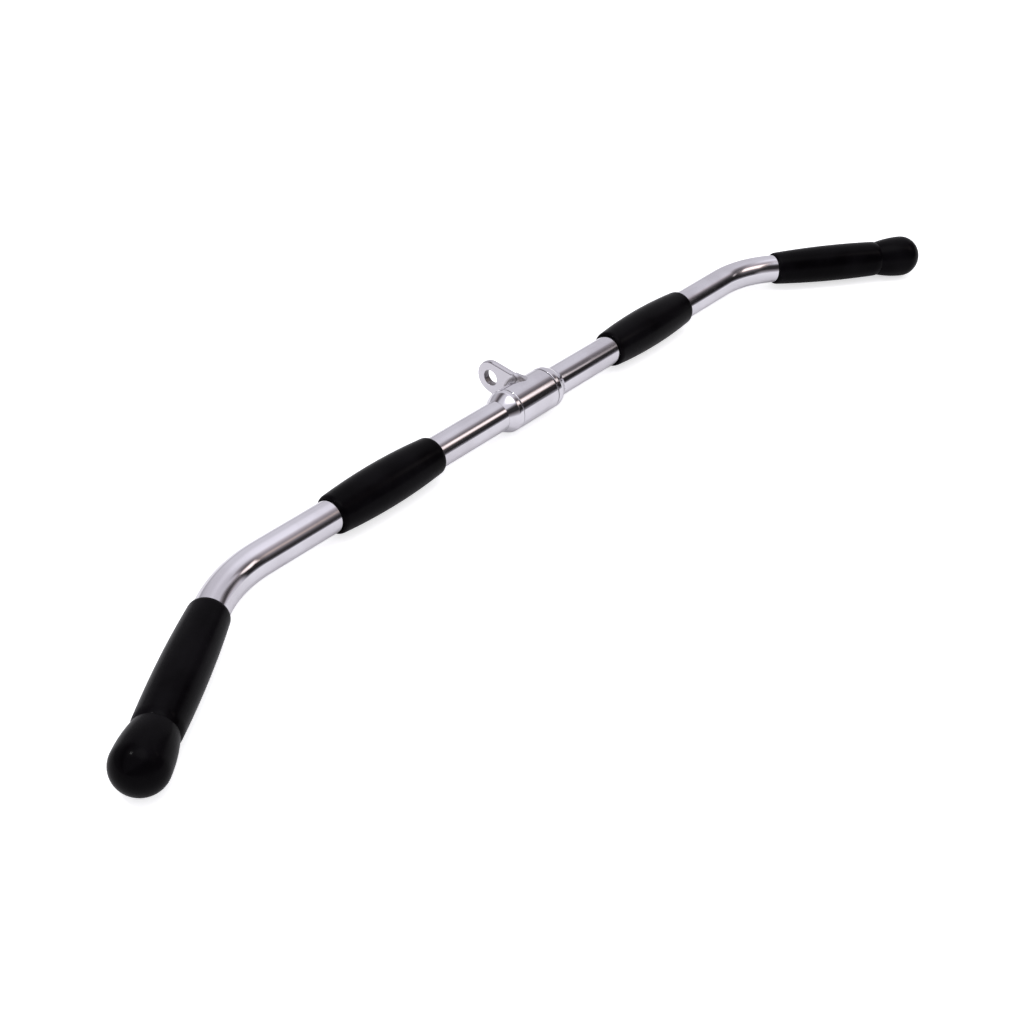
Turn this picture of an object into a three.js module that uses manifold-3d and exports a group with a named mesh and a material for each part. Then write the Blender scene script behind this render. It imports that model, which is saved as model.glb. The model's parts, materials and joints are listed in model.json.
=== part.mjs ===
// Lat pulldown bar: a bent steel tube with a hanger that revolves at its middle and four rubber grips.
// Millimetres. X runs along the bar, both ends bend towards -Y, the lug points towards +Y and Z is up.
// The origin lies on the surface that the bar rests on, at the middle of its outline.

import {
  Box3, BoxGeometry, BufferAttribute, BufferGeometry, Curve, ExtrudeGeometry, Group, LatheGeometry,
  MathUtils, Matrix4, Mesh, MeshStandardMaterial, Path, QuadraticBezierCurve, Shape, Vector2, Vector3,
} from 'three';
import { mergeVertices } from 'three/addons/utils/BufferGeometryUtils.js';
import Module from 'manifold-3d';

const wasm = await Module();
wasm.setup();

// Driving dimensions of the bar
const TUBE_RADIUS = 12.7;
const TUBE_WALL = 2.6;
const STRAIGHT_LENGTH = 574;
const BEND_RADIUS = 112;
const BEND_ANGLE = MathUtils.degToRad(32);
const END_LENGTH = 148.4;

// Driving dimensions of the hanger
const SLEEVE_LENGTH = 42;
const SLEEVE_WALL = 2.5;
const LUG_THICKNESS = 6;
const EYE_RADIUS = 6.5;
const EYE_STANDOFF = 18.1;
const LUG_TILT = MathUtils.degToRad(10);

// Driving dimensions of the grips, where a wall is the rubber outside the tube at that place
const INNER_GRIP_START = 112;
const INNER_GRIP_LENGTH = 108;
const INNER_GRIP_WALL = 4.7;
const OUTER_GRIP_START = 4;
const OUTER_GRIP_WALL = 4;
const BALL_WALL = 5.9;

// Clearances between pieces that seat on each other, and round what turns
const SEAT_GAP = 0.3;
const RUNNING_GAP = 0.3;

// Facets
const ROUND_SIDES = 32;
const BEND_STEPS = 8;

// Finishes
const CHROME = { color: 0xc9c7cf, roughness: 0.12, metalness: 1 };
const RUBBER = { color: 0x141216, roughness: 0.55, metalness: 0 };
const BRONZE = { color: 0x8c6a3c, roughness: 0.45, metalness: 1 };
const NYLON = { color: 0x1c1b1e, roughness: 0.6, metalness: 0 };

const bar = new Group();

function addPiece(parent, name, geometry, finish) {
  const mesh = new Mesh(geometry, new MeshStandardMaterial(finish));
  mesh.name = name;
  parent.add(mesh);
}

// A point of a turned profile: its radius, and its place along the axis.
function at(radius, along) {
  return new Vector2(radius, along);
}

// Turns a profile about the X axis. It starts and ends on the axis, or closes on itself.
function turned(profile) {
  return new LatheGeometry(profile, ROUND_SIDES).rotateZ(-Math.PI / 2);
}

// Bar tube
// The axis is straight, bent, straight, bent and straight, with its stations close together in the bends.
class BarAxis extends Curve {
  constructor() {
    super();
    this.stations = [];
    this.addStation(-1, 1, END_LENGTH);
    for (let step = BEND_STEPS; step >= 0; step -= 1) {
      this.addStation(-1, step / BEND_STEPS, 0);
    }
    for (let step = 0; step <= BEND_STEPS; step += 1) {
      this.addStation(1, step / BEND_STEPS, 0);
    }
    this.addStation(1, 1, END_LENGTH);
  }

  // side is -1 on the left and 1 on the right. The station lies past a share of that side's bend.
  addStation(side, bendShare, beyond) {
    const turn = bendShare * BEND_ANGLE;
    const along = STRAIGHT_LENGTH / 2 + BEND_RADIUS * Math.sin(turn) + beyond * Math.cos(turn);
    const aside = BEND_RADIUS * (1 - Math.cos(turn)) + beyond * Math.sin(turn);
    this.stations.push({
      point: new Vector3(side * along, -aside, 0),
      tangent: new Vector3(Math.cos(turn), -side * Math.sin(turn), 0),
    });
  }

  station(share) {
    return this.stations[Math.round(share * (this.stations.length - 1))];
  }

  getPointAt(share, target = new Vector3()) {
    return target.copy(this.station(share).point);
  }

  getTangentAt(share, target = new Vector3()) {
    return target.copy(this.station(share).tangent);
  }
}

function tubeGeometry() {
  const axis = new BarAxis();
  const section = new Shape().absarc(0, 0, TUBE_RADIUS, 0, 2 * Math.PI, false);
  section.holes.push(new Path().absarc(0, 0, TUBE_RADIUS - TUBE_WALL, 0, 2 * Math.PI, false));
  return new ExtrudeGeometry(section, {
    extrudePath: axis,
    steps: axis.stations.length - 1,
    curveSegments: ROUND_SIDES / 2,
  });
}

addPiece(bar, 'bar_tube', tubeGeometry(), CHROME);

// The straight end of the bar on one side: a group that starts where the bend stops, with X along it.
function endGroup(side) {
  const group = new Group();
  const bendReach = STRAIGHT_LENGTH / 2 + BEND_RADIUS * Math.sin(BEND_ANGLE);
  group.position.set(side * bendReach, -BEND_RADIUS * (1 - Math.cos(BEND_ANGLE)), 0);
  group.rotation.z = side > 0 ? -BEND_ANGLE : Math.PI + BEND_ANGLE;
  bar.add(group);
  return group;
}

const ends = { left: endGroup(-1), right: endGroup(1) };

// A half of the straight middle: a group at the middle of the bar, with X towards that side.
function middleGroup(side) {
  const group = new Group();
  group.rotation.z = side > 0 ? 0 : Math.PI;
  bar.add(group);
  return group;
}

const halves = { left: middleGroup(-1), right: middleGroup(1) };

// End plugs
// A moulded cup closes each end of the tube, so that its edge can't cut through the grip.
const PLUG_FLANGE = 1.5;
const PLUG_DEPTH = 12;
const PLUG_WALL = 1.6;
const PLUG_CHAMFER = 0.6;

const plugFace = END_LENGTH + SEAT_GAP;
const plugEnd = plugFace + PLUG_FLANGE;

function plugGeometry() {
  const spigotRadius = TUBE_RADIUS - TUBE_WALL - SEAT_GAP;
  const mouth = plugFace - PLUG_DEPTH;
  return turned([
    at(0, plugFace),
    at(spigotRadius - PLUG_WALL, plugFace),
    at(spigotRadius - PLUG_WALL, mouth),
    at(spigotRadius - PLUG_CHAMFER, mouth),
    at(spigotRadius, mouth + PLUG_CHAMFER),
    at(spigotRadius, plugFace),
    at(TUBE_RADIUS, plugFace),
    at(TUBE_RADIUS, plugEnd - PLUG_CHAMFER),
    at(TUBE_RADIUS - PLUG_CHAMFER, plugEnd),
    at(0, plugEnd),
  ]);
}

for (const [hand, end] of Object.entries(ends)) {
  addPiece(end, `end_plug_${hand}`, plugGeometry(), NYLON);
}

// Hanger sleeve, bushes and thrust washers
// The sleeve turns on two plain bushes pressed into it, and runs against a washer at each end.
const BUSH_WALL = 1.65;
const BUSH_LENGTH = 15;
const WASHER_THICKNESS = 1;
const WASHER_INSET = 0.6;
const EDGE_CHAMFER = 0.5;

const bushBore = TUBE_RADIUS + RUNNING_GAP;
const bushRadius = bushBore + BUSH_WALL;
const sleeveBore = bushRadius + SEAT_GAP;
const sleeveRadius = sleeveBore + SLEEVE_WALL;
const sleeveEnd = SLEEVE_LENGTH / 2;
const washerStart = sleeveEnd + RUNNING_GAP;
const washerEnd = washerStart + WASHER_THICKNESS;

// A ring from start to end along the axis, with both outer edges chamfered.
function ring(innerRadius, outerRadius, start, end, chamfer) {
  return turned([
    at(innerRadius, start),
    at(outerRadius - chamfer, start),
    at(outerRadius, start + chamfer),
    at(outerRadius, end - chamfer),
    at(outerRadius - chamfer, end),
    at(innerRadius, end),
    at(innerRadius, start),
  ]);
}

const sleeveGeometry = ring(sleeveBore, sleeveRadius, -sleeveEnd, sleeveEnd, EDGE_CHAMFER);
addPiece(bar, 'hanger_sleeve', sleeveGeometry, CHROME);

for (const [hand, half] of Object.entries(halves)) {
  const bushGeometry = ring(bushBore, bushRadius, sleeveEnd - BUSH_LENGTH, sleeveEnd, EDGE_CHAMFER);
  addPiece(half, `hanger_bush_${hand}`, bushGeometry, BRONZE);
  const washerRadius = sleeveRadius - WASHER_INSET;
  const washerChamfer = WASHER_THICKNESS / 4;
  const washerGeometry = ring(bushBore, washerRadius, washerStart, washerEnd, washerChamfer);
  addPiece(half, `thrust_washer_${hand}`, washerGeometry, NYLON);
}

// Hanger lug
// A plate with a round eye stands on the sleeve, square to the bar, in a hollow-ground weld.
const EYE_RIM = 7.5;
const FLANK_INSET = 0.75;
const LUG_EDGE = 0.9;
const LUG_EDGE_STEPS = 2;
const LUG_ARC_STEPS = 12;
const WELD_LEG = 6;
const WELD_TOE = 0.4;
const WELD_INSET = 0.35;
const WELD_STEPS = 4;
const CUT_OVERRUN = 1;

const lugBase = sleeveRadius + SEAT_GAP;
const eyeReach = sleeveRadius + EYE_STANDOFF;

function solidOf(geometry) {
  geometry.deleteAttribute('normal');
  geometry.deleteAttribute('uv');
  const merged = mergeVertices(geometry);
  const mesh = new wasm.Mesh({
    numProp: 3,
    vertProperties: new Float32Array(merged.attributes.position.array),
    triVerts: new Uint32Array(merged.index.array),
  });
  return new wasm.Manifold(mesh);
}

function geometryOf(solid) {
  const mesh = solid.getMesh();
  const geometry = new BufferGeometry();
  geometry.setAttribute('position', new BufferAttribute(mesh.vertProperties, 3));
  geometry.setIndex(new BufferAttribute(mesh.triVerts, 1));
  geometry.computeVertexNormals();
  return geometry;
}

// The plate's outline: an arc round the eye, and flanks that widen towards the sleeve.
// Both flanks touch the eye's rim and a circle a little inside the foot's own.
function lugOutline() {
  const rimRadius = EYE_RADIUS + EYE_RIM;
  const flankRadius = lugBase - FLANK_INSET;
  const lean = Math.asin((flankRadius - rimRadius) / eyeReach);
  const rimAngle = Math.PI / 2 - lean;
  const footAngle = Math.asin(flankRadius / lugBase) - lean;
  const footReach = lugBase * Math.cos(footAngle);
  const footHalf = lugBase * Math.sin(footAngle);
  const outline = new Shape();
  outline.absarc(eyeReach, 0, rimRadius, -rimAngle, rimAngle, false);
  outline.lineTo(footReach, footHalf);
  outline.lineTo(footReach, -footHalf);
  outline.closePath();
  outline.holes.push(new Path().absarc(eyeReach, 0, EYE_RADIUS, 0, 2 * Math.PI, false));
  return outline;
}

// The plate is extruded across the bar, its outline turned from XY into YZ, and its foot cut to the sleeve.
function plateSolid() {
  const depth = LUG_THICKNESS - 2 * LUG_EDGE;
  const plate = new ExtrudeGeometry(lugOutline(), {
    depth,
    curveSegments: LUG_ARC_STEPS,
    bevelThickness: LUG_EDGE,
    bevelSize: LUG_EDGE,
    bevelOffset: -LUG_EDGE,
    bevelSegments: LUG_EDGE_STEPS,
  });
  plate.translate(0, 0, -depth / 2);
  const outwards = new Vector3(0, 1, 0);
  const upwards = new Vector3(0, 0, 1);
  const across = new Vector3(1, 0, 0);
  plate.applyMatrix4(new Matrix4().makeBasis(outwards, upwards, across));
  const side = LUG_THICKNESS / 2 + CUT_OVERRUN;
  const sleeveSpace = turned([at(0, -side), at(lugBase, -side), at(lugBase, side), at(0, side)]);
  return solidOf(plate).subtract(solidOf(sleeveSpace));
}

// The weld is a ring with a hollow on each side of the plate, kept only where the plate stands.
function weldSolid() {
  const face = LUG_THICKNESS / 2;
  const toeRadius = lugBase + WELD_TOE;
  const topRadius = toeRadius + WELD_LEG;
  const toe = face + WELD_LEG;
  const left = [];
  const right = [];
  for (let step = 0; step <= WELD_STEPS; step += 1) {
    const turn = (step / WELD_STEPS) * (Math.PI / 2);
    const radius = topRadius - WELD_LEG * Math.cos(turn);
    const place = toe - WELD_LEG * Math.sin(turn);
    left.push(at(radius, -place));
    right.unshift(at(radius, place));
  }
  const welds = turned([at(lugBase, -toe), ...left, ...right, at(lugBase, toe), at(lugBase, -toe)]);
  const width = 2 * (lugBase - WELD_INSET);
  const footprint = new BoxGeometry(2 * (toe + CUT_OVERRUN), topRadius + CUT_OVERRUN, width);
  footprint.translate(0, (topRadius + CUT_OVERRUN) / 2, 0);
  return solidOf(welds).intersect(solidOf(footprint));
}

const hanger = new Group();
hanger.rotation.x = LUG_TILT;
bar.add(hanger);
addPiece(hanger, 'hanger_lug', geometryOf(plateSolid().add(weldSolid())), CHROME);

// Stop collars
// Each collar is flush with the sleeve, and falls in a soft curve to a lip on the tube.
const COLLAR_LENGTH = 13;
const COLLAR_STRAIGHT = 2.4;
const COLLAR_LIP = 0.6;
const COLLAR_STEPS = 5;
const SHOULDER_ALONG_SHARE = 0.33;
const SHOULDER_DROP_SHARE = 0.22;

const boreRadius = TUBE_RADIUS + SEAT_GAP;
const collarStart = washerEnd + SEAT_GAP;
const collarEnd = collarStart + COLLAR_LENGTH;

function collarGeometry() {
  const taperStart = collarStart + COLLAR_STRAIGHT;
  const lipRadius = boreRadius + COLLAR_LIP;
  const shoulder = at(
    sleeveRadius - SHOULDER_DROP_SHARE * (sleeveRadius - lipRadius),
    taperStart + SHOULDER_ALONG_SHARE * (collarEnd - taperStart),
  );
  const taper = new QuadraticBezierCurve(at(sleeveRadius, taperStart), shoulder, at(lipRadius, collarEnd));
  return turned([
    at(boreRadius, collarStart),
    at(sleeveRadius - EDGE_CHAMFER, collarStart),
    at(sleeveRadius, collarStart + EDGE_CHAMFER),
    ...taper.getPoints(COLLAR_STEPS),
    at(boreRadius, collarEnd),
    at(boreRadius, collarStart),
  ]);
}

for (const [hand, half] of Object.entries(halves)) {
  addPiece(half, `stop_collar_${hand}`, collarGeometry(), CHROME);
}

// Grips
// All four are moulded barrels that swell towards their middle, with an end rounded down to a thin lip.
const GRIP_LIP = 0.5;
const GRIP_END_WALL = 1.9;
const GRIP_ROUND = 4.5;
const GRIP_ROUND_STEPS = 3;
const BARREL_STEPS = 8;

const gripLip = boreRadius + GRIP_LIP;
const gripEndRadius = boreRadius + GRIP_END_WALL;

// The rounded end, from the lip up to the barrel. inwards is 1 or -1 along the axis.
function roundedEnd(lipPlace, inwards) {
  const points = [];
  for (let step = 0; step <= GRIP_ROUND_STEPS; step += 1) {
    const turn = (step / GRIP_ROUND_STEPS) * (Math.PI / 2);
    const radius = gripLip + (gripEndRadius - gripLip) * Math.sin(turn);
    points.push(at(radius, lipPlace + inwards * GRIP_ROUND * (1 - Math.cos(turn))));
  }
  return points;
}

// The barrel between two places, without its first point. It is thickest at its middle.
function barrel(start, end, middle, middleRadius) {
  const half = middle - start;
  const points = [];
  for (let step = 1; step <= BARREL_STEPS; step += 1) {
    const place = start + (step / BARREL_STEPS) * (end - start);
    const share = (place - middle) / half;
    points.push(at(middleRadius - (middleRadius - gripEndRadius) * share * share, place));
  }
  return points;
}

function innerGripGeometry() {
  const start = INNER_GRIP_START;
  const end = start + INNER_GRIP_LENGTH;
  const middle = (start + end) / 2;
  const nearEnd = roundedEnd(start, 1);
  const farEnd = roundedEnd(end, -1).reverse();
  return turned([
    at(boreRadius, start),
    ...nearEnd,
    ...barrel(start + GRIP_ROUND, end - GRIP_ROUND, middle, boreRadius + INNER_GRIP_WALL),
    ...farEnd.slice(1),
    at(boreRadius, end),
    at(boreRadius, start),
  ]);
}

for (const [hand, half] of Object.entries(halves)) {
  addPiece(half, `inner_grip_${hand}`, innerGripGeometry(), RUBBER);
}

// Outer grips
// Past its neck the outer grip flares into a ball that closes it over the tube's plugged end.
const OUTER_BARREL_MIDDLE = 69;
const NECK_WALL = 2.3;
const NECK_STEP = 2;
const FLARE_LENGTH = 28.1;
const FLARE_STEPS = 5;
const FLARE_SHOULDER_SHARE = 0.5;
const BALL_NOSE = 17.8;
const BALL_STEPS = 6;
const BALL_END_WALL = 8.9;

const ballRadius = boreRadius + BALL_WALL;

function outerGripGeometry() {
  const start = OUTER_GRIP_START;
  const boreEnd = plugEnd + SEAT_GAP;
  const tip = boreEnd + BALL_END_WALL;
  const ballCentre = tip - BALL_NOSE;
  const neck = ballCentre - FLARE_LENGTH;
  const neckRadius = boreRadius + NECK_WALL;
  const shoulder = at(ballRadius, neck + FLARE_SHOULDER_SHARE * FLARE_LENGTH);
  const flare = new QuadraticBezierCurve(at(neckRadius, neck), shoulder, at(ballRadius, ballCentre));
  const nose = [];
  for (let step = 1; step <= BALL_STEPS; step += 1) {
    const turn = (step / BALL_STEPS) * (Math.PI / 2);
    const radius = step < BALL_STEPS ? ballRadius * Math.cos(turn) : 0;
    nose.push(at(radius, ballCentre + BALL_NOSE * Math.sin(turn)));
  }
  const middle = start + OUTER_BARREL_MIDDLE;
  return turned([
    at(0, boreEnd),
    at(boreRadius, boreEnd),
    at(boreRadius, start),
    ...roundedEnd(start, 1),
    ...barrel(start + GRIP_ROUND, neck - NECK_STEP, middle, boreRadius + OUTER_GRIP_WALL),
    ...flare.getPoints(FLARE_STEPS),
    ...nose,
  ]);
}

for (const [hand, end] of Object.entries(ends)) {
  addPiece(end, `outer_grip_${hand}`, outerGripGeometry(), RUBBER);
}

// The outline is centred over the origin, with its lowest point on the floor.
const outline = new Box3().setFromObject(bar, true);
const centre = outline.getCenter(new Vector3());
bar.position.set(-centre.x, -centre.y, -outline.min.z);

export default bar;
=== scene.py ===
# Lat pulldown bar: a bent chromed tube with a revolving hanger at its middle and four rubber grips.
# Metres, with X along the bar, both ends bent towards -Y, the lug pointing to +Y and Z up.

import json
from math import atan2, cos, hypot, pi, radians, sin

import bmesh
import bpy
from mathutils import Euler, Matrix, Vector
from mathutils.geometry import interpolate_bezier


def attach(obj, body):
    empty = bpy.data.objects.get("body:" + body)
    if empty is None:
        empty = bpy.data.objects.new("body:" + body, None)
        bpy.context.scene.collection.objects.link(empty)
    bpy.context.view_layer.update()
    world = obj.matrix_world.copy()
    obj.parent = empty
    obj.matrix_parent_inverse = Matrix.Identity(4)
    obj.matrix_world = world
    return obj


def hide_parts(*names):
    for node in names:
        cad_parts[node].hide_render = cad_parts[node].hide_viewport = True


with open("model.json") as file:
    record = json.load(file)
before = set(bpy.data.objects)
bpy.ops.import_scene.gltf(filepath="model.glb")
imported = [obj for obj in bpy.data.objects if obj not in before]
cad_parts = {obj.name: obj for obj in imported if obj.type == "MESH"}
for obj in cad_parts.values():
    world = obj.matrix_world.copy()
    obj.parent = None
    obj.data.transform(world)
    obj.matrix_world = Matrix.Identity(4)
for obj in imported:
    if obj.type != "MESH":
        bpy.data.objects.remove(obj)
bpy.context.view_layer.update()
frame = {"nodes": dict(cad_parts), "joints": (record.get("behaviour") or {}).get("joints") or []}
scene = bpy.context.scene


# Camera
# It looks down on the bar from beyond the near ball, so that the bar runs away to the upper right.
CAMERA_PLACE = (-0.8305, -0.5803, 0.6663)
CAMERA_TURN = (53.4817, -3.9706, -50.5468)
SENSOR_WIDTH = 36
# The focal length in widths of the picture.
FOCAL_SHARE = 1510 / 1024

camera_data = bpy.data.cameras.new("camera")
camera_data.sensor_width = SENSOR_WIDTH
camera_data.lens = SENSOR_WIDTH * FOCAL_SHARE
camera = bpy.data.objects.new("camera", camera_data)
camera.location = CAMERA_PLACE
camera.rotation_euler = Euler([radians(turn) for turn in CAMERA_TURN])
scene.collection.objects.link(camera)
scene.camera = camera
scene.view_settings.view_transform = "Standard"


# Floor
# A white sweep, lit softly enough to keep the bar's shadow. A little glow of its own makes it white to the
# camera and lifts it in the chrome.
FLOOR_HALF = 4
FLOOR_COLOUR = (0.8, 0.8, 0.81, 1)
WHITE = (1, 1, 1, 1)
SEEN_LIFT = 0.6
MIRRORED_LIFT = 0.05


def shader_nodes(tree):
    """Empties a node tree and returns a function that adds a node with its settings and inputs.

    An input is given by its name, or by its place in a table. It is a value or another node's output.
    """
    tree.nodes.clear()

    def add(kind, settings=None, places=None, **named):
        node = tree.nodes.new(kind)
        for name, value in (settings or {}).items():
            setattr(node, name, value)
        inputs = {name.replace("_", " "): value for name, value in named.items()}
        inputs.update(places or {})
        for key, value in inputs.items():
            if isinstance(value, bpy.types.NodeSocket):
                tree.links.new(value, node.inputs[key])
            else:
                node.inputs[key].default_value = value
        return node

    return add


def worked_out(add, operation, first, second, kind="ShaderNodeMath"):
    """The result of a sum on two numbers, or on two vectors with the vector kind of node."""
    return add(kind, {"operation": operation}, {0: first, 1: second}).outputs[0]


floor_material = bpy.data.materials.new("floor_white")
floor_material.use_nodes = True
add = shader_nodes(floor_material.node_tree)
path = add("ShaderNodeLightPath")
seen = add("ShaderNodeMapRange", Value=path.outputs["Is Camera Ray"], To_Max=SEEN_LIFT)
mirrored = add("ShaderNodeMapRange", Value=path.outputs["Is Glossy Ray"], To_Max=MIRRORED_LIFT)
lift = worked_out(add, "ADD", seen.outputs["Result"], mirrored.outputs["Result"])
matt = add("ShaderNodeBsdfDiffuse", Color=FLOOR_COLOUR)
glow = add("ShaderNodeEmission", Color=WHITE, Strength=lift)
both = add("ShaderNodeAddShader", None, {0: matt.outputs[0], 1: glow.outputs[0]})
add("ShaderNodeOutputMaterial", Surface=both.outputs[0])

floor_mesh = bpy.data.meshes.new("floor")
bm = bmesh.new()
bmesh.ops.create_grid(bm, x_segments=1, y_segments=1, size=FLOOR_HALF)
bm.to_mesh(floor_mesh)
bm.free()
floor_mesh.materials.append(floor_material)
floor = bpy.data.objects.new("floor", floor_mesh)
scene.collection.objects.link(floor)


# Lamps and room
# A soft lamp above, which the chrome doesn't mirror, a lamp with a warm rim beyond the far end, a small one
# high behind the near end, and a room that only the chrome mirrors: bright overhead and dark low in front.
ROOM_LIGHT = 1.0
ROOM_COLOUR = (0.97, 0.96, 1, 1)
COOL = (1, 0.985, 1.05)
DIM = (1, 0.92, 0.97)
WARM = (1, 0.83, 0.76)
# Each wall is a list of (height, brightness, tint). The height goes from 0 at the horizon behind the bar over
# 0.5 straight up to 1 at the horizon in front of it.
WALL_ACROSS = [
    (0.00, 0.50, COOL),
    (0.12, 0.62, COOL),
    (0.18, 0.42, DIM),
    (0.235, 0.12, DIM),
    (0.28, 0.18, DIM),
    (0.34, 0.80, COOL),
    (0.52, 0.90, COOL),
    (0.68, 0.84, COOL),
    (0.72, 0.25, DIM),
    (0.76, 0.04, DIM),
    (0.87, 0.03, DIM),
    (0.94, 0.30, DIM),
    (1.00, 0.80, COOL),
]
WALL_NEAR = [
    (0.00, 0.60, COOL),
    (0.10, 0.82, COOL),
    (0.25, 0.84, COOL),
    (0.36, 1.08, COOL),
    (0.45, 1.14, COOL),
    (0.52, 1.12, COOL),
    (0.60, 0.62, DIM),
    (0.67, 0.37, DIM),
    (0.74, 0.66, WARM),
    (0.80, 0.24, DIM),
    (0.86, 0.065, DIM),
    (0.94, 0.016, DIM),
    (1.00, 0.34, COOL),
]
WALL_FAR = [
    (0.00, 0.56, COOL),
    (0.10, 0.78, COOL),
    (0.40, 0.84, COOL),
    (0.49, 0.76, COOL),
    (0.53, 0.48, DIM),
    (0.57, 0.27, DIM),
    (0.61, 0.17, DIM),
    (0.70, 0.16, DIM),
    (0.75, 0.08, DIM),
    (0.80, 0.028, DIM),
    (0.93, 0.018, DIM),
    (1.00, 0.40, COOL),
]
WALL_FARTHER = [
    (0.00, 0.56, COOL),
    (0.10, 0.74, COOL),
    (0.42, 0.80, COOL),
    (0.56, 0.84, COOL),
    (0.61, 0.70, DIM),
    (0.65, 0.38, DIM),
    (0.69, 0.19, DIM),
    (0.73, 0.085, DIM),
    (0.78, 0.03, DIM),
    (0.86, 0.012, DIM),
    (0.93, 0.02, DIM),
    (1.00, 0.44, COOL),
]
WALL_END = [
    (0.00, 0.56, COOL),
    (0.10, 0.78, COOL),
    (0.40, 0.86, COOL),
    (0.48, 0.72, COOL),
    (0.54, 0.36, DIM),
    (0.59, 0.17, DIM),
    (0.65, 0.08, DIM),
    (0.72, 0.08, DIM),
    (0.78, 0.28, DIM),
    (0.84, 0.62, DIM),
    (0.90, 0.80, COOL),
    (1.00, 0.88, COOL),
]
# Each later wall takes over from those before it as the mirrored view leans along the bar from the first of
# its two shares to the second.
LATER_WALLS = [
    (WALL_NEAR, 0.20, 0.38),
    (WALL_FAR, 0.54, 0.69),
    (WALL_FARTHER, 0.725, 0.768),
    (WALL_END, 0.79, 0.88),
]
# Soft oval lights that only the chrome mirrors, each by its middle, its reach and its colour: one overhead
# and one far along the bar. They fade in between two shares of their reach.
SOFT_LIGHTS = [
    ((0.04, -0.12, 0), (0.36, 0.42, 1), (1.6, 1.6, 1.6, 1)),
    ((0.716, -0.50, 0), (0.03, 0.07, 1), (0.56, 0.51, 0.50, 1)),
]
SOFT_EDGE = (1.12, 0.55)
LEVEL = (1, 1, 0)
# Each lamp is a rectangle by its name, place, size, power and colour, tilted about X towards the bar's line.
LAMPS = [
    ("lamp_above", (0.06, -0.03, 1.9), (0.70, 1.5), 6.9, (1, 1, 1)),
    ("lamp_beyond", (1.06, -0.80, 1.03), (0.50, 0.30), 0.375, (1, 1, 1)),
    ("lamp_beyond_rim", (1.05, -0.81, 1.04), (0.54, 0.54), 0.57, (1, 0.80, 0.70)),
    ("lamp_behind", (-0.988, 0.461, 1.61), (0.20, 0.12), 5.0, (1, 1, 1)),
]
UNMIRRORED_LAMP = "lamp_above"
# Where a Mix node for colours keeps its share, its two colours and its result.
MIX_SHARE, MIX_FIRST, MIX_SECOND, MIX_RESULT = 0, 6, 7, 2


def mixed_colours(add, share, first, second, blend="MIX"):
    """The first colour passing into the second by a share."""
    mix = add("ShaderNodeMix", {"data_type": "RGBA", "blend_type": blend},
              {MIX_SHARE: share, MIX_FIRST: first, MIX_SECOND: second})
    return mix.outputs[MIX_RESULT]


def passing(add, value, start, end):
    """A soft step from 0 to 1 as a value goes from start to end."""
    return add("ShaderNodeMapRange", {"interpolation_type": "SMOOTHSTEP"}, Value=value,
               From_Min=start, From_Max=end).outputs["Result"]


world = bpy.data.worlds.new("room")
scene.world = world
world.use_nodes = True
add = shader_nodes(world.node_tree)
path = add("ShaderNodeLightPath")
way = add("ShaderNodeTexCoord").outputs["Generated"]
parts = add("ShaderNodeSeparateXYZ", Vector=way)
height = worked_out(add, "DIVIDE", worked_out(add, "ARCTAN2", parts.outputs["Z"], parts.outputs["Y"]), pi)


def wall_colour(wall):
    """A wall's colour at the mirrored height, from a ramp with its stops."""
    ramp = add("ShaderNodeValToRGB", Fac=height)
    stops = ramp.color_ramp.elements
    while len(stops) < len(wall):
        stops.new(1)
    for stop, (position, level, tint) in zip(stops, wall):
        stop.position = position
        stop.color = (*[level * share for share in tint], 1)
    return ramp.outputs["Color"]


room = wall_colour(WALL_ACROSS)
for wall, start, end in LATER_WALLS:
    leaning_over = passing(add, parts.outputs["X"], start, end)
    room = mixed_colours(add, leaning_over, room, wall_colour(wall))
for middle, reach, light in SOFT_LIGHTS:
    off = worked_out(add, "SUBTRACT", way, middle, "ShaderNodeVectorMath")
    shares = worked_out(add, "DIVIDE", off, reach, "ShaderNodeVectorMath")
    level_shares = worked_out(add, "MULTIPLY", shares, LEVEL, "ShaderNodeVectorMath")
    apart = add("ShaderNodeVectorMath", {"operation": "LENGTH"}, {0: level_shares})
    room = mixed_colours(add, passing(add, apart.outputs["Value"], *SOFT_EDGE), room, light, "ADD")
plain = add("ShaderNodeBackground", Color=ROOM_COLOUR, Strength=ROOM_LIGHT)
mirrored = add("ShaderNodeBackground", Color=room)
white = add("ShaderNodeBackground", Color=WHITE)
lit = add("ShaderNodeMixShader", None, {1: plain.outputs[0], 2: mirrored.outputs[0]},
          Fac=path.outputs["Is Glossy Ray"])
shown = add("ShaderNodeMixShader", None, {1: lit.outputs[0], 2: white.outputs[0]},
            Fac=path.outputs["Is Camera Ray"])
add("ShaderNodeOutputWorld", Surface=shown.outputs[0])

for name, place, size, power, colour in LAMPS:
    lamp_data = bpy.data.lights.new(name, "AREA")
    lamp_data.shape = "RECTANGLE"
    lamp_data.size, lamp_data.size_y = size
    lamp_data.energy = power
    lamp_data.color = colour
    lamp = bpy.data.objects.new(name, lamp_data)
    lamp.location = place
    lamp.rotation_euler.x = atan2(-place[1], place[2])
    lamp.visible_glossy = name != UNMIRRORED_LAMP
    scene.collection.objects.link(lamp)


# Bar tube
# One inch steel tube, bent twice in one plane on a former, polished and chromed.
MM = 0.001
SIDES = 96
MERGE = 0.005 * MM
SHARP_ANGLE = radians(35)
TUBE_RADIUS = 12.7 * MM
TUBE_WALL = 2.6 * MM
STRAIGHT_HALF = 287 * MM
BEND_RADIUS = 112 * MM
BEND_ANGLE = radians(32)
BEND_STEPS = 40
END_LENGTH = 148.4 * MM
PATCH_EDGE = (0.35, 0.68)
ROUGH_EDGE = (0.2, 1.6)
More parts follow.
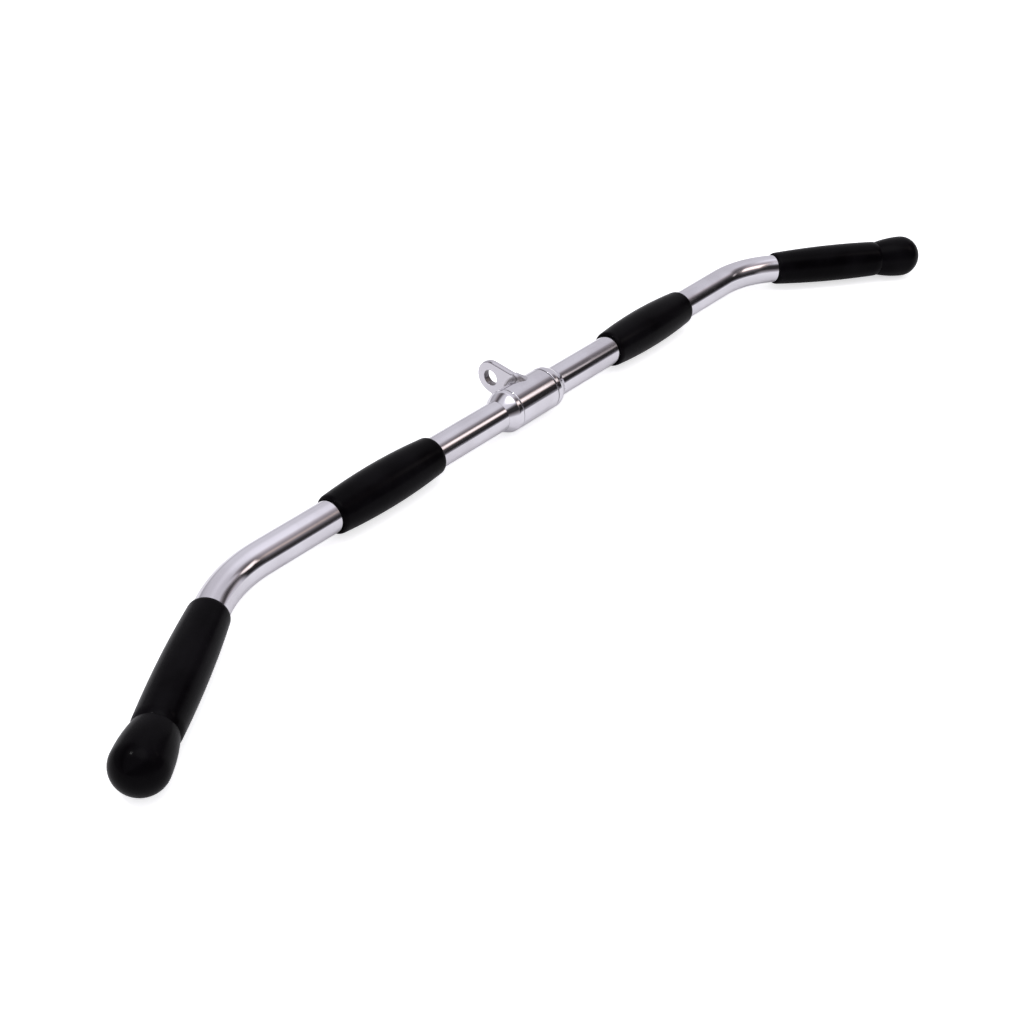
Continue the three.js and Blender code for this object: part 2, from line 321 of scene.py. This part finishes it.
# A look is a clean and a worn colour, the least and the most roughness, and the scales of grain and patches.
CHROME_LOOK = {
    "clean": (0.69, 0.675, 0.72, 1),
    "worn": (0.60, 0.58, 0.62, 1),
    "smooth": 0.05,
    "rough": 0.14,
    "grain": 700,
    "patch": 22,
}
CHROME_DEPTH = 0.004 * MM

bar_middle = Matrix.Translation(frame["joints"][0].get("pos_m"))


def wear_group():
    """Grain and patches on a piece's own coordinates, for colour, roughness and height."""
    group = bpy.data.node_groups.new("grain_and_patches", "ShaderNodeTree")
    for name, kind, value in [
        ("Grain Scale", "NodeSocketFloat", 900),
        ("Patch Scale", "NodeSocketFloat", 20),
        ("Clean", "NodeSocketColor", WHITE),
        ("Worn", "NodeSocketColor", WHITE),
        ("Smooth", "NodeSocketFloat", 0.1),
        ("Rough", "NodeSocketFloat", 0.2),
    ]:
        socket = group.interface.new_socket(name, in_out="INPUT", socket_type=kind)
        socket.default_value = value
    for name, kind in [
        ("Colour", "NodeSocketColor"),
        ("Roughness", "NodeSocketFloat"),
        ("Height", "NodeSocketFloat"),
    ]:
        group.interface.new_socket(name, in_out="OUTPUT", socket_type=kind)
    add = shader_nodes(group)
    given = add("NodeGroupInput").outputs
    place = add("ShaderNodeTexCoord").outputs["Object"]
    grain = add("ShaderNodeTexNoise", Vector=place, Scale=given["Grain Scale"], Detail=3, Roughness=0.6)
    patch = add("ShaderNodeTexNoise", Vector=place, Scale=given["Patch Scale"], Detail=5, Roughness=0.55)
    spread = passing(add, patch.outputs["Fac"], *PATCH_EDGE)
    dulled = worked_out(add, "ADD", spread, grain.outputs["Fac"])
    rough = add("ShaderNodeMapRange", Value=dulled, From_Min=ROUGH_EDGE[0], From_Max=ROUGH_EDGE[1],
                To_Min=given["Smooth"], To_Max=given["Rough"])
    add("NodeGroupOutput", Colour=mixed_colours(add, spread, given["Clean"], given["Worn"]),
        Roughness=rough.outputs["Result"], Height=grain.outputs["Fac"])
    return group


grain_and_patches = wear_group()


def worn_look(add, clean, worn, smooth, rough, grain, patch):
    """The outputs of the grain group, set to a look."""
    return add("ShaderNodeGroup", {"node_tree": grain_and_patches}, Grain_Scale=grain, Patch_Scale=patch,
               Clean=clean, Worn=worn, Smooth=smooth, Rough=rough).outputs


def finish_of(name, look, depth, **plain):
    """A material whose colour, roughness and bump follow a look, with plain values for the rest."""
    material = bpy.data.materials.new(name)
    material.use_nodes = True
    add = shader_nodes(material.node_tree)
    wear = worn_look(add, **look)
    bump = add("ShaderNodeBump", Height=wear["Height"], Distance=depth)
    shader = add("ShaderNodeBsdfPrincipled", Base_Color=wear["Colour"], Roughness=wear["Roughness"],
                 Normal=bump.outputs["Normal"], **plain)
    add("ShaderNodeOutputMaterial", Surface=shader.outputs["BSDF"])
    return material


def finished_piece(name, bm, material, body, nodes):
    """Makes the mesh an object at the origin, smooth but for its sharp edges, parents it to its body and
    hides the CAD nodes it stands for.
    """
    mesh = bpy.data.meshes.new(name)
    bm.to_mesh(mesh)
    bm.free()
    mesh.materials.append(material)
    mesh.shade_smooth()
    mesh.set_sharp_from_angle(angle=SHARP_ANGLE)
    piece = bpy.data.objects.new(name, mesh)
    scene.collection.objects.link(piece)
    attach(piece, body)
    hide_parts(*nodes)


def drawn_out(bm, rim, along):
    """Extrudes a rim of edges by a vector."""
    made = bmesh.ops.extrude_edge_only(bm, edges=rim)["geom"]
    verts = [part for part in made if isinstance(part, bmesh.types.BMVert)]
    bmesh.ops.translate(bm, verts=verts, vec=along)


chrome = finish_of("chrome_plate", CHROME_LOOK, CHROME_DEPTH, Metallic=1.0)

# The right half is drawn out from a circle at the middle, and the left half mirrors it.
bm = bmesh.new()
bmesh.ops.create_circle(bm, segments=SIDES, radius=TUBE_RADIUS)
bmesh.ops.rotate(bm, verts=bm.verts, cent=(0, 0, 0), matrix=Matrix.Rotation(pi / 2, 3, "Y"))
drawn_out(bm, bm.edges[:], (STRAIGHT_HALF, 0, 0))
rim = [edge for edge in bm.edges if all(vert.co.x > STRAIGHT_HALF / 2 for vert in edge.verts)]
bent = bmesh.ops.spin(bm, geom=rim, cent=(STRAIGHT_HALF, -BEND_RADIUS, 0), axis=(0, 0, 1),
                      angle=-BEND_ANGLE, steps=BEND_STEPS, use_duplicate=False)
rim = [part for part in bent["geom_last"] if isinstance(part, bmesh.types.BMEdge)]
end_way = Vector((cos(BEND_ANGLE), -sin(BEND_ANGLE), 0))
drawn_out(bm, rim, end_way * END_LENGTH)
bmesh.ops.mirror(bm, geom=bm.verts[:] + bm.edges[:] + bm.faces[:], axis="X", merge_dist=MERGE)
bmesh.ops.remove_doubles(bm, verts=bm.verts, dist=MERGE)
bmesh.ops.recalc_face_normals(bm, faces=bm.faces)
bmesh.ops.solidify(bm, geom=bm.faces[:], thickness=TUBE_WALL)
bmesh.ops.transform(bm, matrix=bar_middle, verts=bm.verts)
finished_piece("tube", bm, chrome, "bar", ["bar_tube"])


# End plugs
# Black nylon cups pressed into the tube, so that its cut edge can't work through the grips.
NYLON_LOOK = {
    "clean": (0.02, 0.02, 0.022, 1),
    "worn": (0.035, 0.034, 0.036, 1),
    "smooth": 0.45,
    "rough": 0.65,
    "grain": 1500,
    "patch": 60,
}
NYLON_DEPTH = 0.03 * MM


def coated(node, material):
    """Gives a carried-over CAD node its material."""
    slots = frame["nodes"][node].data.materials
    slots.clear()
    slots.append(material)


nylon = finish_of("nylon_moulded", NYLON_LOOK, NYLON_DEPTH)
for hand in ("left", "right"):
    coated(f"end_plug_{hand}", nylon)


# Bushes
# Oiled bronze bushes pressed into both ends of the sleeve, which runs on them.
BRONZE_LOOK = {
    "clean": (0.45, 0.3, 0.14, 1),
    "worn": (0.3, 0.19, 0.09, 1),
    "smooth": 0.3,
    "rough": 0.5,
    "grain": 2500,
    "patch": 90,
}
BRONZE_DEPTH = 0.02 * MM

bronze = finish_of("bronze_oiled", BRONZE_LOOK, BRONZE_DEPTH, Metallic=1.0)
for hand in ("left", "right"):
    coated(f"hanger_bush_{hand}", bronze)


# Hanger sleeve
# A short length of chromed steel tube with eased edges, which revolves on the bar. A thin skirt at each end
# reaches over the washer, and a ring of edges beside each eased edge holds the shading straight.
SLEEVE_BORE = 14.95 * MM
SLEEVE_RADIUS = 17.45 * MM
SLEEVE_HALF = 21 * MM
SLEEVE_FLOAT = -0.2 * MM
SLEEVE_SKIRT = 0.75 * MM
SKIRT_BORE = 16.95 * MM
SLEEVE_EASE = 0.35 * MM
EASE_STEPS = 3
ROUND = 0.5
HOLD = 0.8 * MM


def spun(profile, closed=True):
    """Spins a profile of (along, radius, rounding) about the X axis."""
    bm = bmesh.new()
    verts = [bm.verts.new((along, 0, radius)) for along, radius, _ in profile]
    for start, end in zip(verts, verts[1:] + verts[:1] if closed else verts[1:]):
        bm.edges.new((start, end))
    for vert, (_, _, rounding) in zip(verts, profile):
        if rounding:
            bmesh.ops.bevel(bm, geom=[vert], affect="VERTICES", offset=rounding, segments=EASE_STEPS,
                            profile=ROUND, material=-1)
    bmesh.ops.spin(bm, geom=bm.verts[:] + bm.edges[:], cent=(0, 0, 0), axis=(1, 0, 0), angle=2 * pi,
                   steps=SIDES, use_merge=True, use_duplicate=False)
    bmesh.ops.remove_doubles(bm, verts=bm.verts, dist=MERGE)
    bmesh.ops.recalc_face_normals(bm, faces=bm.faces)
    return bm


def turned(name, profile, place, material, body, nodes, closed=True):
    """Turns a profile about the X axis, sets it in place and finishes it."""
    bm = spun(profile, closed)
    bmesh.ops.transform(bm, matrix=place, verts=bm.verts)
    finished_piece(name, bm, material, body, nodes)


sleeve_half = [
    (SLEEVE_HALF, SLEEVE_BORE, 0),
    (SLEEVE_HALF, SKIRT_BORE, 0),
    (SLEEVE_HALF + SLEEVE_SKIRT, SKIRT_BORE, 0),
    (SLEEVE_HALF + SLEEVE_SKIRT, SLEEVE_RADIUS, SLEEVE_EASE),
    (SLEEVE_HALF + SLEEVE_SKIRT - HOLD, SLEEVE_RADIUS, 0),
]
sleeve = sleeve_half + [(-along, radius, rounding) for along, radius, rounding in reversed(sleeve_half)]
resting = bar_middle @ Matrix.Translation((SLEEVE_FLOAT, 0, 0))
turned("sleeve", sleeve, resting, chrome, "hanger", ["hanger_sleeve"])


# Thrust washers
# Thin black nylon rings that keep the sleeve's ends off the collars. Under the sleeve's skirts they show only
# as thin dark seams.
WASHER_BORE = 13 * MM
WASHER_RADIUS = 16.85 * MM
WASHER_START = 21.3 * MM
WASHER_END = 22.3 * MM
WASHER_EASE = 0.25 * MM

halves = {
    "right": bar_middle,
    "left": bar_middle @ Matrix.Rotation(pi, 4, "Z"),
}
washer = [
    (WASHER_START, WASHER_BORE, 0),
    (WASHER_START, WASHER_RADIUS, WASHER_EASE),
    (WASHER_END, WASHER_RADIUS, WASHER_EASE),
    (WASHER_END, WASHER_BORE, 0),
]
for hand, place in halves.items():
    turned(f"washer_{hand}", washer, place, nylon, "bar", [f"thrust_washer_{hand}"])


# Stop collars
# Turned steel, chromed, flush with the sleeve and falling in a soft curve to a lip on the tube.
COLLAR_BORE = 12.72 * MM
COLLAR_START = 22.4 * MM
COLLAR_TAPER = 26.4 * MM
COLLAR_END = 35.6 * MM
COLLAR_LIP_RADIUS = 12.8 * MM
COLLAR_SHOULDER = (29.3 * MM, 16.9 * MM)
CURVE_STEPS = 14
HANDLE_SHARE = 2 / 3


def leaning(start, shoulder, end, steps=CURVE_STEPS):
    """Profile points of a soft curve from start to end that leans towards shoulder."""
    start, shoulder, end = Vector(start), Vector(shoulder), Vector(end)
    handles = start.lerp(shoulder, HANDLE_SHARE), end.lerp(shoulder, HANDLE_SHARE)
    flat = [Vector((*point, 0)) for point in (start, *handles, end)]
    return [(point.x, point.y, 0) for point in interpolate_bezier(*flat, steps)]


collar = [
    (COLLAR_START, COLLAR_BORE, 0),
    (COLLAR_START, SLEEVE_RADIUS, SLEEVE_EASE),
    (COLLAR_START + HOLD, SLEEVE_RADIUS, 0),
    (COLLAR_TAPER - HOLD, SLEEVE_RADIUS, 0),
    *leaning((COLLAR_TAPER, SLEEVE_RADIUS), COLLAR_SHOULDER, (COLLAR_END, COLLAR_LIP_RADIUS)),
    (COLLAR_END, COLLAR_BORE, 0),
]
for hand, place in halves.items():
    turned(f"collar_{hand}", collar, place, chrome, "bar", [f"stop_collar_{hand}"])


# Hanger lug
# A steel plate with the cable's eye, coped to the sleeve, welded all round, ground and chromed with it.
# Its weld and the wall of its eye are duller than the rest, and carry painted shade, darkest in the corner by
# the sleeve on the near side.
LUG_THICKNESS = 6 * MM
LUG_EDGE = 1.8 * MM
EDGE_STEPS = 6
LUG_TILT = radians(10)
RIM_RADIUS = 14 * MM
EYE_RADIUS = 6.5 * MM
EYE_REACH = 35.55 * MM
FOOT_RADIUS = 17 * MM
FLAT_WITHIN = radians(1)
EDGE_FROM = radians(60)
WELD_LEG = 5.4 * MM
WELD_TOE = 0.25 * MM
WELD_ROOT = 3 * MM
WELD_STEPS = 8
WELD_VOXEL = 0.5 * MM
WELD_SMOOTHING = 30
LUG_VOXEL = 0.3 * MM
LUG_SMOOTHING = 5
LUG_SINK = 0.05 * MM
EYE_TOOL = 24 * MM
FOOTPRINT_TOOL = 40 * MM
BORE_TOOL = 60 * MM
# How far the mask of painted shade and dulling reaches from the corner between plate and sleeve and from the
# eye's wall, and its share on the far side of the plate, which gets less painted shade.
WELD_DARK = 4.6 * MM
WELD_FADE = 2.4 * MM
EYE_DARK = 0.5 * MM
FAR_SIDE = 0.35
# Painted shade: the dark colour that the mask mixes into the chrome in the weld's corner and on the eye's
# wall.
PAINTED_SHADE_COLOUR = (0.15, 0.135, 0.14, 1)
WORKED_ROUGH = 0.34
RIPPLE_SCALE = 420
RIPPLE_EDGE = (0.3, 0.62)
RIPPLE_LEAST = 0.7
RIPPLE_DEPTH = 0.4 * MM


def chrome_with_painted_shade():
    """Chrome that is dull and rippled, and darkened by painted shade, where the lug's mask of shade and
    dulling is high.
    """
    material = bpy.data.materials.new("chrome_with_painted_weld_shade")
    material.use_nodes = True
    add = shader_nodes(material.node_tree)
    wear = worn_look(add, **CHROME_LOOK)
    mask = add("ShaderNodeAttribute", {"attribute_name": "worked"}).outputs["Fac"]
    place = add("ShaderNodeTexCoord").outputs["Object"]
    noise = add("ShaderNodeTexNoise", Vector=place, Scale=RIPPLE_SCALE, Detail=2, Roughness=0.5)
    ripple = noise.outputs["Fac"]
    blotch = add("ShaderNodeMapRange", Value=ripple, From_Min=RIPPLE_EDGE[0], From_Max=RIPPLE_EDGE[1],
                 To_Min=RIPPLE_LEAST)
    share = worked_out(add, "MULTIPLY", mask, blotch.outputs["Result"])
    # The colour darkens to painted shade where the mask is high, mottled by the ripple.
    colour = mixed_colours(add, share, wear["Colour"], PAINTED_SHADE_COLOUR)
    rough = add("ShaderNodeMapRange", Value=share, To_Min=wear["Roughness"], To_Max=WORKED_ROUGH)
    height = worked_out(add, "MULTIPLY", mask, ripple)
    bump = add("ShaderNodeBump", Height=height, Distance=RIPPLE_DEPTH)
    shader = add("ShaderNodeBsdfPrincipled", Base_Color=colour, Roughness=rough.outputs["Result"],
                 Normal=bump.outputs["Normal"], Metallic=1.0)
    add("ShaderNodeOutputMaterial", Surface=shader.outputs["BSDF"])
    return material


def cylinder(bm, radius, length, place):
    """Adds a closed cylinder that stands on the Z axis before it is set in place."""
    bmesh.ops.create_cone(bm, cap_ends=True, segments=SIDES, radius1=radius, radius2=radius, depth=length,
                          matrix=place)


def solid(name, bm):
    """Makes a mesh an object for the boolean cuts."""
    mesh = bpy.data.meshes.new(name)
    bm.to_mesh(mesh)
    bm.free()
    made = bpy.data.objects.new(name, mesh)
    scene.collection.objects.link(made)
    return made


def round_tool(name, radius, length, place):
    """A cylinder as an object for the boolean cuts."""
    bm = bmesh.new()
    cylinder(bm, radius, length, place)
    return solid(name, bm)


def cut(piece, operation, tool):
    """Adds a boolean cut of a piece with a tool."""
    modifier = piece.modifiers.new(operation.lower(), "BOOLEAN")
    modifier.operation = operation
    modifier.solver = "EXACT"
    modifier.object = tool


def evened(piece, voxel, rounds):
    """Adds a voxel remesh and rounds of smoothing, which run the piece's forms into each other."""
    remesh = piece.modifiers.new("remesh", "REMESH")
    remesh.mode = "VOXEL"
    remesh.voxel_size = voxel
    piece.modifiers.new("even", "SMOOTH").iterations = rounds


weld_shaded_chrome = chrome_with_painted_shade()
across = Matrix.Rotation(pi / 2, 4, "Y")
outwards = Matrix.Rotation(pi / 2, 4, "X")
at_eye = Matrix.Translation((0, EYE_REACH, 0)) @ across
at_foot = Matrix.Translation((0, FOOTPRINT_TOOL / 2, 0)) @ outwards

# The plate is the hull of the eye's rim and a circle just inside the sleeve.
bm = bmesh.new()
cylinder(bm, RIM_RADIUS, LUG_THICKNESS, at_eye)
cylinder(bm, FOOT_RADIUS, LUG_THICKNESS, across)
bmesh.ops.delete(bm, geom=bm.faces[:] + bm.edges[:], context="EDGES_FACES")
hull = bmesh.ops.convex_hull(bm, input=bm.verts[:])
bmesh.ops.delete(bm, geom=hull["geom_interior"], context="VERTS")
bmesh.ops.dissolve_limit(bm, angle_limit=FLAT_WITHIN, verts=bm.verts, edges=bm.edges)
bmesh.ops.recalc_face_normals(bm, faces=bm.faces)
edges = [edge for edge in bm.edges if edge.calc_face_angle(0) > EDGE_FROM]
bmesh.ops.bevel(bm, geom=edges, affect="EDGES", offset=LUG_EDGE, segments=EDGE_STEPS, profile=ROUND,
                material=-1)
lug = solid("lug", bm)

# The weld is a ring with a hollow on each side of the plate, kept only where the plate stands.
face = LUG_THICKNESS / 2
angles = [step / WELD_STEPS * pi / 2 for step in range(WELD_STEPS + 1)]
hollow = [(face + WELD_LEG * (1 - sin(angle)), SLEEVE_RADIUS + WELD_TOE + WELD_LEG * (1 - cos(angle)), 0)
          for angle in angles]
ring = [(face + WELD_LEG, SLEEVE_RADIUS - WELD_ROOT, 0), *hollow]
ring += [(-along, radius, 0) for along, radius, _ in reversed(ring)]
weld = solid("weld", spun(ring))

eye = round_tool("eye", EYE_RADIUS, EYE_TOOL, at_eye)
footprint = round_tool("footprint", FOOT_RADIUS, FOOTPRINT_TOOL, at_foot)
bore = round_tool("bore", SLEEVE_RADIUS - LUG_SINK, BORE_TOOL, across)
cut(weld, "INTERSECT", footprint)
evened(weld, WELD_VOXEL, WELD_SMOOTHING)
cut(lug, "UNION", weld)
cut(lug, "DIFFERENCE", eye)
evened(lug, LUG_VOXEL, LUG_SMOOTHING)
cut(lug, "DIFFERENCE", bore)

bpy.context.view_layer.update()
bm = bmesh.new()
bm.from_object(lug, bpy.context.evaluated_depsgraph_get())
for tool in (lug, eye, weld, footprint, bore):
    bpy.data.objects.remove(tool)
# The mask is painted shade in the corner between plate and sleeve and on the eye's wall, weaker on the far
# side of the plate; it also dulls and ripples the chrome there.
worked = bm.verts.layers.float.new("worked")
for vert in bm.verts:
    along, out, up = vert.co
    from_corner = hypot(max(abs(along) - face, 0), hypot(out, up) - SLEEVE_RADIUS)
    from_wall = abs(hypot(out - EYE_REACH, up) - EYE_RADIUS)
    corner_shade_and_dulling = min((WELD_DARK - from_corner) / WELD_FADE, 1) * (FAR_SIDE if along > 0 else 1)
    vert[worked] = max(corner_shade_and_dulling, min((EYE_DARK - from_wall) / EYE_DARK, 1), 0)
bmesh.ops.transform(bm, matrix=bar_middle @ Matrix.Rotation(LUG_TILT, 4, "X"), verts=bm.verts)
finished_piece("lug_and_weld", bm, weld_shaded_chrome, "hanger", ["hanger_lug"])


# Inner grips
# Moulded rubber barrels stretched over the straight middle, with each end rounded down to a thin lip.
GRIP_BORE = 13 * MM
GRIP_LIP = 13.5 * MM
GRIP_ROUND = 4.5 * MM
ROUND_STEPS = 8
GRIP_STEPS = 24
INNER_START = 112 * MM
INNER_END = 220 * MM
INNER_SWELL = 17.7 * MM
INNER_END_RADIUS = 15.5 * MM
RUBBER_LOOK = {
    "clean": (0.0011, 0.0008, 0.0012, 1),
    "worn": (0.003, 0.0026, 0.0034, 1),
    "smooth": 0.28,
    "rough": 0.42,
    "grain": 2200,
    "patch": 26,
}
RUBBER_DEPTH = 0.02 * MM

rubber = finish_of("rubber_moulded", RUBBER_LOOK, RUBBER_DEPTH, Specular_IOR_Level=0.01, Coat_Weight=0.46,
                   Coat_IOR=1.12, Coat_Roughness=0.15)


def rounded_end(lip, inwards, top):
    """The grip's end, from its lip up to the barrel's radius there, as a quarter of an ellipse."""
    angles = [step / ROUND_STEPS * pi / 2 for step in range(ROUND_STEPS + 1)]
    return [(lip + inwards * GRIP_ROUND * (1 - cos(angle)), GRIP_LIP + (top - GRIP_LIP) * sin(angle), 0)
            for angle in angles]


inner_middle = (INNER_START + INNER_END) / 2
inner = [
    (INNER_START, GRIP_BORE, 0),
    *rounded_end(INNER_START, 1, INNER_END_RADIUS),
    *leaning((INNER_START + GRIP_ROUND, INNER_END_RADIUS), (inner_middle, 2 * INNER_SWELL - INNER_END_RADIUS),
             (INNER_END - GRIP_ROUND, INNER_END_RADIUS), GRIP_STEPS)[1:-1],
    *reversed(rounded_end(INNER_END, -1, INNER_END_RADIUS)),
    (INNER_END, GRIP_BORE, 0),
]
for hand, place in halves.items():
    turned(f"grip_inner_{hand}", inner, place, rubber, "bar", [f"inner_grip_{hand}"])


# Outer grips
# One-piece rubber grips pushed on over the plugged ends: a long barrel, a neck and a closed ball.
OUTER_START = 4 * MM
OUTER_END_RADIUS = 14.9 * MM
BARREL_END = (111.5 * MM, 16.25 * MM)
BARREL_SHOULDER = (60 * MM, 18.25 * MM)
NECK = (113.5 * MM, 15.3 * MM)
FLARE_SHOULDER = (127.55 * MM, 18.9 * MM)
BALL_RADIUS = 18.9 * MM
BALL_CENTRE = 141.6 * MM
BALL_NOSE = 17.8 * MM
NOSE_STEPS = 20
OUTER_BORE_END = 150.5 * MM

bend_reach = STRAIGHT_HALF + BEND_RADIUS * sin(BEND_ANGLE)
bend_drop = -BEND_RADIUS * (1 - cos(BEND_ANGLE))
ends = {}
for hand, reach, facing in (("left", -bend_reach, pi + BEND_ANGLE), ("right", bend_reach, -BEND_ANGLE)):
    bend_end = Matrix.Translation((reach, bend_drop, 0))
    ends[hand] = bar_middle @ bend_end @ Matrix.Rotation(facing, 4, "Z")

angles = [step / NOSE_STEPS * pi / 2 for step in range(1, NOSE_STEPS)]
outer = [
    (OUTER_BORE_END, 0, 0),
    (OUTER_BORE_END, GRIP_BORE, 0),
    (OUTER_START, GRIP_BORE, 0),
    *rounded_end(OUTER_START, 1, OUTER_END_RADIUS),
    *leaning((OUTER_START + GRIP_ROUND, OUTER_END_RADIUS), BARREL_SHOULDER, BARREL_END, GRIP_STEPS)[1:],
    *leaning(NECK, FLARE_SHOULDER, (BALL_CENTRE, BALL_RADIUS)),
    *[(BALL_CENTRE + BALL_NOSE * sin(angle), BALL_RADIUS * cos(angle), 0) for angle in angles],
    (BALL_CENTRE + BALL_NOSE, 0, 0),
]
for hand, place in ends.items():
    turned(f"grip_outer_{hand}", outer, place, rubber, "bar", [f"outer_grip_{hand}"],
           closed=False)
